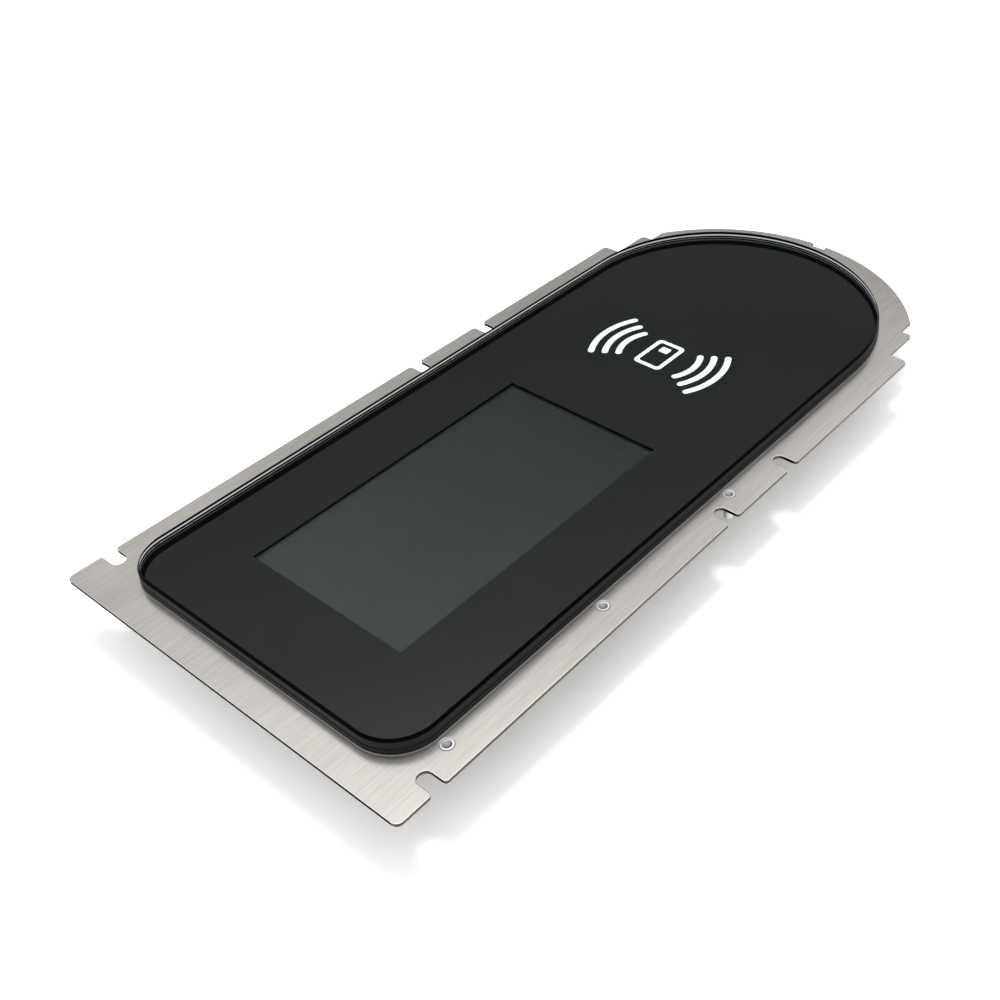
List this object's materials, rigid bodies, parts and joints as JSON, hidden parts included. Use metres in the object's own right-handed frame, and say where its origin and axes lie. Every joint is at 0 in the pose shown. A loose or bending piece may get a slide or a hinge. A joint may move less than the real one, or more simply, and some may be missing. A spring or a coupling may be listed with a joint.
{
  "type": "ticket machine display and card reader module",
  "caption": "Arch-topped brushed steel mounting plate with a raised black glass panel: portrait display, contactless reader mark, rear electronics housing.",
  "frame": {"origin": "under the middle of the mounting plate's overall length and width, on the rear housing's flat back", "axes": "+Z out of the glass, +Y up the module towards its arch, +X to the right seen from the front"},
  "size_m": [0.192, 0.4156, 0.037],
  "materials": {
    "brushed_stainless": "brushed along its length",
    "stud_steel": "pressed, bright rim",
    "closed_cell_foam": "matt closed-cell foam",
    "black_anodised_aluminium": "black anodised, satin",
    "foam_tape": "matt",
    "cover_glass": "polished, black printed on its back",
    "black_print": "screen printed ceramic",
    "white_print": "screen printed ceramic",
    "clear_bond": "clear optical adhesive",
    "sensor_glass": "thin coated glass",
    "polariser": "dark polariser film, display off",
    "acrylic_light_guide": "acrylic sheet and white films",
    "zinc_plated_steel": "zinc plated",
    "screw_steel": "A2 stainless",
    "polyimide_ribbon": "amber polyimide film",
    "connector_plastic": "moulded",
    "circuit_board": "green solder mask",
    "copper_track": "bare copper",
    "ferrite": "sintered",
    "chip_epoxy": "moulded epoxy",
    "tin_plate": "tin plated",
    "card_plastic": "laminated",
    "natural_aluminium": "extruded",
    "capacitor_can": "drawn can",
    "battery_steel": "polished",
    "green_header_plastic": "moulded polyamide",
    "red_button_plastic": "moulded",
    "nickel_plated_brass": "nickel plated",
    "white_acetal": "turned acetal",
    "insert_brass": "knurled",
    "speaker_body": "moulded, with a steel magnet cup",
    "black_abs": "moulded, fine spark texture"
  },
  "bodies": {
    "root": {"aerial_board": "circuit_board", "aerial_coil": "copper_track", "aerial_header": "connector_plastic", "backlight_tray": "zinc_plated_steel", "battery_holder": "connector_plastic", "board_screws": "screw_steel", "capacitors": "capacitor_can", "clinch_studs": "stud_steel", "clock_battery": "battery_steel", "contactless_mark": "white_print", "cover_glass": "cover_glass", "data_header": "green_header_plastic", "display_ribbon": "polyimide_ribbon", "display_straps": "zinc_plated_steel", "ferrite_sheet": "ferrite", "frame_gasket": "closed_cell_foam", "front_frame": "black_anodised_aluminium", "glass_print": "black_print", "glass_tape": "foam_tape", "heat_sink": "natural_aluminium", "hinge_pin": "screw_steel", "lcd_cell": "polariser", "lcd_gasket": "closed_cell_foam", "light_guide": "acrylic_light_guide", "main_board": "circuit_board", "memory_chips": "chip_epoxy", "mounting_plate": "brushed_stainless", "network_socket": "tin_plate", "optical_bond": "clear_bond", "power_header": "green_header_plastic", "processor": "chip_epoxy", "reader_board": "circuit_board", "reader_chip": "chip_epoxy", "reader_shield": "tin_plate", "rear_cover": "black_abs", "rear_gasket": "closed_cell_foam", "rear_screws": "screw_steel", "reset_switch": "connector_plastic", "ribbon_connectors": "connector_plastic", "sam_cards": "card_plastic", "sam_sockets": "connector_plastic", "speaker": "speaker_body", "strap_screws": "screw_steel", "tamper_nut": "nickel_plated_brass", "tamper_switch": "connector_plastic", "threaded_inserts": "insert_brass", "touch_ribbon": "polyimide_ribbon", "touch_sensor": "sensor_glass"},
    "reset_button": {"reset_button": "red_button_plastic"},
    "tamper_plunger": {"tamper_plunger": "white_acetal"},
    "card_hatch": {"card_hatch": "black_abs"}
  },
  "joints": [
    {"name": "reset_button_press", "type": "slide", "parent": "root", "child": "reset_button", "axis": [0, 1, 0], "range_m": [0, 0.0003], "stiffness_N_per_m": 1000, "springref_m": -0.001},
    {"name": "tamper_plunger_press", "type": "slide", "parent": "root", "child": "tamper_plunger", "axis": [0, 1, 0], "range_m": [0, 0.003], "stiffness_N_per_m": 300, "springref_m": -0.003},
    {"name": "card_hatch_hinge", "type": "hinge", "parent": "root", "child": "card_hatch", "pos_m": [0.0665, 0.06049, 0.0065], "axis": [0, 1, 0], "range_deg": [0, 90]}
  ]
}
